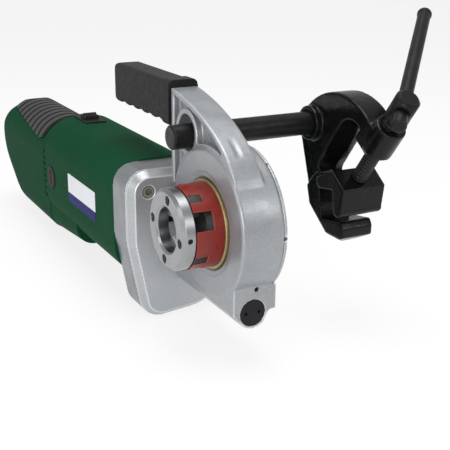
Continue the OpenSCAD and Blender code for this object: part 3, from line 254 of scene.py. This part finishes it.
    def relief(self, height, strength, distance):
        """Adds bumps whose full height is a distance in metres."""
        bump = self.node("ShaderNodeBump")
        bump.inputs["Strength"].default_value = strength
        bump.inputs["Distance"].default_value = distance
        if self.normal_source is not None:
            self.link(self.normal_source, bump.inputs["Normal"])
        self.link(height, bump.inputs["Height"])
        self.normal_source = bump.outputs["Normal"]
        self.link(self.normal_source, self.shader.inputs["Normal"])


def cast_metal(name, grey, bend):
    """Blasted aluminium with clouds and grain, with a painted highlight where it bends out and painted
    shade in its corners.
    """
    surface = Surface(name, srgb(grey, grey + 3, grey + 6), 0.36, metallic=0.5)
    surface.tint(surface.spread(surface.noise(22, 4), 0, 0.8), srgb(grey - 16, grey - 13, grey - 9))
    surface.tint(surface.spread(surface.noise(600, 3), 0, 0.5), srgb(grey + 22, grey + 25, grey + 28))
    # Painted shade: darker in the concave corners and creases
    surface.tint(surface.bends(0.49, 0.42), srgb(104, 106, 110))
    # Painted highlight: near white where the casting bends out over its edges
    surface.tint(surface.bends(0.5 + bend, 0.5 + 4 * bend), srgb(230, 232, 234))
    surface.roughen(surface.noise(60, 4), 0.28, 0.46)
    surface.relief(surface.noise(800, 4), 0.3, 0.25 * MM)
    surface.relief(surface.noise(90, 2), 0.2, 0.8 * MM)
    return surface.material


def turned_steel():
    """Bright turned steel with fine rings round the die axis."""
    surface = Surface("turned_steel", srgb(176, 178, 180), 0.26, metallic=0.95)
    rings = surface.rings(2200)
    surface.tint(surface.spread(rings, 0, 0.8), srgb(128, 130, 133))
    surface.tint(surface.spread(surface.noise(45, 4), 0, 0.4, 0.5, 0.8), srgb(120, 118, 114))
    surface.roughen(rings, 0.2, 0.38)
    surface.round_edges(0.5 * MM)
    surface.relief(rings, 0.2, 0.1 * MM)
    return surface.material


def plain_steel(name, color, worn, roughness):
    """Plain metal with faint streaks and clouds."""
    surface = Surface(name, color, roughness, metallic=0.85)
    surface.tint(surface.spread(surface.noise(80, 4), 0, 0.7), worn)
    surface.roughen(surface.noise(260, 3, (1, 0.2, 1)), roughness - 0.08, roughness + 0.12)
    surface.round_edges(0.4 * MM)
    surface.relief(surface.noise(900, 3), 0.15, 0.1 * MM)
    return surface.material


def screw_steel():
    """Dull plated screws, with painted shade round the rim of the head and in the socket."""
    surface = Surface("screw_steel", srgb(158, 158, 148), 0.4, metallic=0.35)
    surface.tint(surface.spread(surface.noise(80, 4), 0, 0.7), srgb(128, 128, 118))
    # Painted shade: near black on the edges round the head's rim and in the socket
    surface.tint(surface.edges(1.3 * MM), srgb(36, 36, 34))
    surface.roughen(surface.noise(260, 3), 0.32, 0.52)
    surface.round_edges(0.4 * MM)
    return surface.material


def tool_steel():
    """The dies' steel, oily and dark outside, bright at the cutting teeth near the die axis."""
    surface = Surface("tool_steel", srgb(58, 57, 57), 0.34, metallic=0.8)
    surface.tint(surface.spread(surface.noise(160, 4), 0, 0.6), srgb(40, 39, 39))
    surface.tint(surface.edges(0.5 * MM), srgb(120, 120, 121))
    surface.tint(surface.spread(surface.off_axis(), 1, 0, 26 * MM, 30 * MM), srgb(176, 178, 180))
    surface.roughen(surface.noise(260, 3), 0.26, 0.42)
    surface.round_edges(0.3 * MM)
    return surface.material


def black_paint():
    """Thick gloss black paint over a rough casting, thin on the edges."""
    surface = Surface("black_paint", srgb(10, 10, 11), 0.24, specular=0.2, coat=0.05)
    surface.tint(surface.spread(surface.noise(40, 4), 0, 0.6), srgb(18, 18, 19))
    surface.tint(surface.bends(0.54, 0.64), srgb(37, 37, 38))
    surface.roughen(surface.noise(120, 4), 0.12, 0.3)
    surface.relief(surface.noise(160, 3), 0.4, 0.8 * MM)
    surface.relief(surface.noise(900, 2), 0.12, 0.2 * MM)
    return surface.material


def black_oxide():
    """Blackened steel, greyer where it is handled."""
    surface = Surface("black_oxide", srgb(17, 17, 18), 0.34, metallic=0.12, specular=0.22)
    surface.tint(surface.spread(surface.noise(60, 5), 0, 0.7), srgb(30, 30, 31))
    surface.tint(surface.edges(0.8 * MM), srgb(66, 66, 67))
    surface.roughen(surface.noise(200, 4), 0.28, 0.48)
    surface.round_edges(0.6 * MM)
    surface.relief(surface.noise(700, 3), 0.2, 0.2 * MM)
    return surface.material


def green_shell():
    """Dark green moulded plastic with a fine grain."""
    surface = Surface("green_shell", srgb(20, 68, 44), 0.55, specular=0.02)
    surface.tint(surface.spread(surface.noise(9, 2), 0, 0.35), srgb(14, 57, 35))
    surface.tint(surface.edges(0.9 * MM), srgb(36, 86, 60))
    surface.roughen(surface.noise(300, 3), 0.5, 0.62)
    surface.round_edges(1.8 * MM)
    surface.relief(surface.noise(1500, 2), 0.1, 0.1 * MM)
    return surface.material


def moulded_plastic(name, color, light, roughness):
    """Moulded plastic with a faint grain and lighter edges."""
    surface = Surface(name, color, roughness, specular=0.14)
    surface.tint(surface.spread(surface.noise(50, 3), 0, 0.5), light)
    surface.tint(surface.edges(0.5 * MM), light)
    surface.roughen(surface.noise(200, 3), roughness - 0.06, roughness + 0.1)
    surface.round_edges(0.5 * MM)
    surface.relief(surface.noise(1800, 2), 0.12, 0.1 * MM)
    return surface.material


def grip_rubber(name, grey, pad=None, ribs=1):
    """Dark grey rubber, matt and finely pebbled; with painted shade in the grooves between the ribs of a
    pad.
    """
    surface = Surface(name, srgb(grey, grey, grey + 1), 0.62, specular=0.16)
    surface.shader.inputs["Sheen Weight"].default_value = 0.065
    surface.tint(surface.spread(surface.noise(30, 4), 0, 0.5), srgb(grey + 7, grey + 7, grey + 8))
    surface.tint(surface.edges(1.0 * MM), srgb(grey + 31, grey + 31, grey + 32))
    # Painted shade: darker in the grooves between the pad's ribs
    if pad is not None:
        low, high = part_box(pad)
        surface.tint(surface.grooves(high.x, (high.x - low.x) / ribs), srgb(29, 29, 30))
    surface.roughen(surface.noise(150, 3), 0.54, 0.72)
    surface.round_edges(0.8 * MM)
    surface.relief(surface.noise(1300, 2), 0.3, 0.2 * MM)
    return surface.material


def red_paint():
    """Red enamel on the outside of the die head, worn at its edges; its inside is painted dark, both as
    bare oily metal and as painted shade in its windows.
    """
    surface = Surface("red_paint", srgb(128, 35, 26), 0.34, specular=0.35, coat=0.1)
    surface.tint(surface.spread(surface.noise(90, 4), 0, 0.6), srgb(104, 29, 22))
    surface.tint(surface.edges(0.8 * MM), srgb(186, 84, 62))
    # Painted shade, also standing for bare oily metal: near black inside the die head's outer radius
    inside = surface.spread(surface.off_axis(), 1, 0, DIE_HEAD_R - 2.5 * MM, DIE_HEAD_R - 1 * MM)
    surface.tint(inside, srgb(28, 25, 24))
    surface.roughen(surface.noise(140, 4), 0.26, 0.44)
    surface.round_edges(0.6 * MM)
    surface.relief(surface.noise(500, 3), 0.2, 0.2 * MM)
    return surface.material


def yellow_zinc():
    """Zinc plating with a yellow passivated film."""
    surface = Surface("zinc", srgb(160, 142, 92), 0.3, metallic=0.9)
    surface.tint(surface.spread(surface.noise(70, 4), 0, 0.7), srgb(150, 122, 84))
    surface.tint(surface.spread(surface.rings(1600), 0, 0.5), srgb(188, 178, 142))
    surface.roughen(surface.noise(240, 3), 0.26, 0.44)
    surface.round_edges(0.4 * MM)
    return surface.material


def label_paint(name, color):
    """Printed film of the blank label."""
    surface = Surface(name, color, 0.4, specular=0.03)
    faded = tuple(0.86 * channel for channel in color[:3]) + (1,)
    surface.tint(surface.spread(surface.noise(60, 3), 0, 0.3), faded)
    surface.roughen(surface.noise(200, 3), 0.28, 0.44)
    return surface.material


SLOT_MATERIALS = {
    "cast_metal": cast_metal("cast_metal", 150, 0.02),
    "steel": plain_steel("steel", srgb(178, 180, 182), srgb(158, 160, 163), 0.32),
    "dark_steel": plain_steel("dark_steel", srgb(92, 93, 95), srgb(70, 70, 72), 0.4),
    "black_paint": black_paint(),
    "black_oxide": black_oxide(),
    "black_plastic": moulded_plastic("black_plastic", srgb(26, 26, 28), srgb(44, 44, 46), 0.45),
    "grip_rubber": grip_rubber("grip_rubber", 20),
    "green_shell": green_shell(),
    "red_paint": red_paint(),
    "zinc": yellow_zinc(),
    "brass": plain_steel("brass", srgb(190, 156, 86), srgb(160, 126, 66), 0.35),
    "copper": plain_steel("copper", srgb(184, 112, 72), srgb(150, 84, 54), 0.38),
    "carbon": moulded_plastic("carbon", srgb(38, 38, 40), srgb(60, 60, 62), 0.6),
    "brown_cap": moulded_plastic("brown_cap", srgb(25, 16, 13), srgb(40, 28, 23), 0.5),
}
NODE_MATERIALS = {
    "die_cover": turned_steel(),
    "dies": tool_steel(),
    # Copies of the cast metal: the face plate's is a painted lit copy, lighter and with a stronger painted
    # highlight; the gearcase's is a painted shaded copy, darker
    "face_plate": cast_metal("plate_metal_painted_lit", 172, 0.008),
    "gearcase": cast_metal("gearcase_metal_painted_shade", 132, 0.02),
    "handle_saddle": grip_rubber("ribbed_rubber", 57, "handle_saddle", SADDLE_RIBS),
    "housing_screws": screw_steel(),
    "jaw_pin": SLOT_MATERIALS["black_oxide"],
}


def paint_nodes():
    """Gives each CAD node the material of its slot, or its own one."""
    for row in frame["record"]["subparts"]:
        node, slot = row["node"], row["material_slot"]
        material = NODE_MATERIALS.get(node, SLOT_MATERIALS[slot])
        slots = NODES[node].data.materials
        slots.clear()
        slots.append(material)


def soften(node, voxel, rounds):
    """Rounds a casting's edges and corners by remeshing it as small cubes and smoothing them."""
    target = NODES[node]
    weld = target.modifiers.new("weld", "WELD")
    weld.merge_threshold = 0.01 * MM
    remesh = target.modifiers.new("remesh", "REMESH")
    remesh.mode = "VOXEL"
    remesh.voxel_size = voxel
    remesh.use_smooth_shade = True
    smooth = target.modifiers.new("smooth", "SMOOTH")
    smooth.factor = 0.5
    smooth.iterations = rounds


def add_object(name, data):
    """A new object in the scene."""
    made = bpy.data.objects.new(name, data)
    bpy.context.scene.collection.objects.link(made)
    return made


def add_piece(name, form, body, materials):
    """A new piece from a bmesh, which is used up; it rides on a body and takes the materials it is given.
    """
    mesh = bpy.data.meshes.new(name)
    form.to_mesh(mesh)
    form.free()
    for material in materials:
        mesh.materials.append(material)
    piece = add_object(name, mesh)
    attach(piece, body)
    return piece


def everything(form):
    return form.verts[:] + form.edges[:] + form.faces[:]


def circle_turns(sides):
    """Angles of a circle's corners."""
    return [math.tau * side / sides for side in range(sides)]


def skin(form, rows):
    """Joins rings of corners to a closed body, with a cap at each end."""
    for low, high in zip(rows, rows[1:]):
        for side in range(len(low)):
            after = (side + 1) % len(low)
            form.faces.new((low[side], low[after], high[after], high[side]))
    form.faces.new(list(reversed(rows[0])))
    form.faces.new(rows[-1])
    bmesh.ops.recalc_face_normals(form, faces=form.faces)


def blank_label():
    """A label of two colours, without words, on the barrel's side."""
    start_x, end_x = -274 * MM, -182 * MM
    top_z, band_z, low_z = -12 * MM, -35 * MM, -47 * MM
    thickness, corner_r = 0.4 * MM, 1.5 * MM
    wall_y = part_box("motor_housing")[0].y
    size = Vector((end_x - start_x, thickness, top_z - low_z))
    middle = Vector(((start_x + end_x) / 2, wall_y - thickness / 2, (top_z + low_z) / 2))
    form = bmesh.new()
    bmesh.ops.create_cube(form, size=1, matrix=Matrix.LocRotScale(middle, None, size))
    corners = [edge for edge in form.edges
               if abs((edge.verts[0].co - edge.verts[1].co).y) > thickness / 2]
    bmesh.ops.bevel(form, geom=corners, offset=corner_r, segments=4, profile=0.5, affect="EDGES")
    bmesh.ops.bisect_plane(form, geom=everything(form), plane_co=(0, 0, band_z), plane_no=(0, 0, 1))
    for face in form.faces:
        face.material_index = int(face.calc_center_median().z < band_z)
    paints = [label_paint("label_white", srgb(222, 224, 228)), label_paint("label_blue", srgb(30, 33, 98))]
    add_piece("blank_label", form, "machine", paints)


def grub_screw():
    """Headless black screw in the small hole above the worm plug, a dark piece that stands for the hole's
    shade.
    """
    # Depth behind the front and radius in millimetres: back, chamfer, front, socket's mouth and floor
    profile = ((7, 2.45), (0.4, 2.45), (0, 2.05), (0, 1.5), (2, 1.4))
    set_back, right, above = 1.2 * MM, 4 * MM, 23 * MM
    low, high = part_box("worm_plug")
    place = Vector((high.x - set_back, (low.y + high.y) / 2 + right, (low.z + high.z) / 2 + above))
    form = bmesh.new()
    rows = []
    for depth, radius in profile:
        ring = [Vector((-depth, radius * math.cos(turn), radius * math.sin(turn)))
                for turn in circle_turns(24)]
        rows.append([form.verts.new(place + corner * MM) for corner in ring])
    skin(form, rows)
    add_piece("grub_screw", form, "machine", [SLOT_MATERIALS["black_oxide"]])


def in_clamp(along, radius, turn):
    """Point at a distance along the clamp screw's axis and at a radius and an angle round it."""
    axis = Vector((math.cos(SCREW_ANGLE), 0, math.sin(SCREW_ANGLE)))
    up = Vector((-math.sin(SCREW_ANGLE), 0, math.cos(SCREW_ANGLE)))
    side = Vector((0, 1, 0))
    return Vector((0, CLAMP_Y, 0)) + along * axis + radius * (math.cos(turn) * up + math.sin(turn) * side)


def screw_radius(along, turn):
    """Radius of the clamp screw at a place along its axis and at an angle round it."""
    tip_step, crest, flank = 2 * MM, 0.35, 0.3
    if along < SHANK_START:
        return SCREW_R - tip_step
    phase = (along / SCREW_PITCH - turn / math.tau) % 1
    off_crest = abs(phase - 0.5) * 2
    groove = min(max((off_crest - crest) / flank, 0), 1)
    fade_in = min(max((along - SHANK_START) / SCREW_PITCH, 0), 1)
    return SCREW_R - THREAD_DEPTH * groove * fade_in


def threaded_screw():
    """The clamp screw with a real thread on its shank; its head is cut from the CAD node."""
    form = bmesh.new()
    form.from_mesh(NODES["clamp_screw"].data)
    bmesh.ops.remove_doubles(form, verts=form.verts, dist=0.005 * MM)
    axis = in_clamp(1, 0, 0) - in_clamp(0, 0, 0)
    cut = bmesh.ops.bisect_plane(form, geom=everything(form), plane_co=in_clamp(HEAD_START, 0, 0),
                                 plane_no=axis, clear_inner=True)
    rim = [item for item in cut["geom_cut"] if isinstance(item, bmesh.types.BMEdge)]
    bmesh.ops.holes_fill(form, edges=rim, sides=0)
    tip_end, shoulder, rows_per_pitch = 0.4 * MM, 1.2 * MM, 12
    shank = HEAD_START - SHANK_START
    count = int(shank / (SCREW_PITCH / rows_per_pitch))
    places = [TIP_START + tip_end, SHANK_START - shoulder]
    places += [SHANK_START + shank * index / count for index in range(count + 1)]
    rows = [[form.verts.new(in_clamp(place, screw_radius(place, turn), turn)) for turn in circle_turns(48)]
            for place in places]
    skin(form, rows)
    screw = add_piece("threaded_screw", form, "screw", [SLOT_MATERIALS["black_oxide"]])
    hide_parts("clamp_screw")


def pale_floor(height):
    """A wide floor that is mostly white by itself where it is seen, and still takes the part's shadow."""
    reach, glow_share = 12, 0.8
    mesh = bpy.data.meshes.new("floor")
    corners = [(x * reach, y * reach, height) for x, y in ((-1, -1), (1, -1), (1, 1), (-1, 1))]
    mesh.from_pydata(corners, [], [(0, 1, 2, 3)])
    surface = Surface("floor", srgb(250, 250, 250), 0.8, specular=0.05)
    glow = surface.node("ShaderNodeEmission")
    glow.inputs["Strength"].default_value = 1.0
    mix = surface.node("ShaderNodeMixShader")
    surface.link(surface.spread(surface.seen(), 0, glow_share, 0, 1), mix.inputs["Fac"])
    surface.link(surface.shader.outputs["BSDF"], mix.inputs[1])
    surface.link(glow.outputs["Emission"], mix.inputs[2])
    surface.link(mix.outputs["Shader"], surface.tree.nodes["Material Output"].inputs["Surface"])
    mesh.materials.append(surface.material)
    add_object("floor", mesh)


def soft_light(name, place, width, watts):
    """A round lamp that points at the part."""
    data = bpy.data.lights.new(name, "AREA")
    data.shape = "DISK"
    data.size = width
    data.energy = watts
    lamp = add_object(name, data)
    lamp.location = place
    lamp.rotation_euler = (Vector(LIGHT_TARGET) - Vector(place)).to_track_quat("-Z", "Y").to_euler()


def studio_light():
    """An even white world and four soft lamps."""
    world = bpy.data.worlds.new("studio")
    bpy.context.scene.world = world
    world.use_nodes = True
    background = world.node_tree.nodes["Background"]
    background.inputs["Color"].default_value = (1, 1, 1, 1)
    background.inputs["Strength"].default_value = 0.5
    for name, (place, width, watts) in LAMPS.items():
        soft_light(name, place, width, watts)


def photo_camera():
    """The camera at the photograph's place and angle."""
    azimuth, elevation, roll = map(math.radians, (CAMERA_AZIMUTH, CAMERA_ELEVATION, CAMERA_ROLL))
    back = Vector((math.sin(azimuth) * math.cos(elevation),
                   -math.cos(azimuth) * math.cos(elevation),
                   math.sin(elevation)))
    right = Vector((0, 0, 1)).cross(back).normalized()
    up = back.cross(right)
    turned_right = right * math.cos(roll) + up * math.sin(roll)
    turned_up = up * math.cos(roll) - right * math.sin(roll)
    data = bpy.data.cameras.new("camera")
    data.lens = CAMERA_LENS
    data.sensor_width = 36
    camera = add_object("camera", data)
    axes = Matrix((turned_right, turned_up, back)).transposed()
    camera.matrix_world = Matrix.Translation(CAMERA_PLACE) @ axes.to_4x4()
    bpy.context.scene.camera = camera


paint_nodes()
for node, voxel, rounds in SOFTENED:
    soften(node, voxel * MM, rounds)
threaded_screw()
blank_label()
grub_screw()
pale_floor(cad_box[0].z)
studio_light()
photo_camera()
bpy.context.scene.view_settings.view_transform = "Standard"
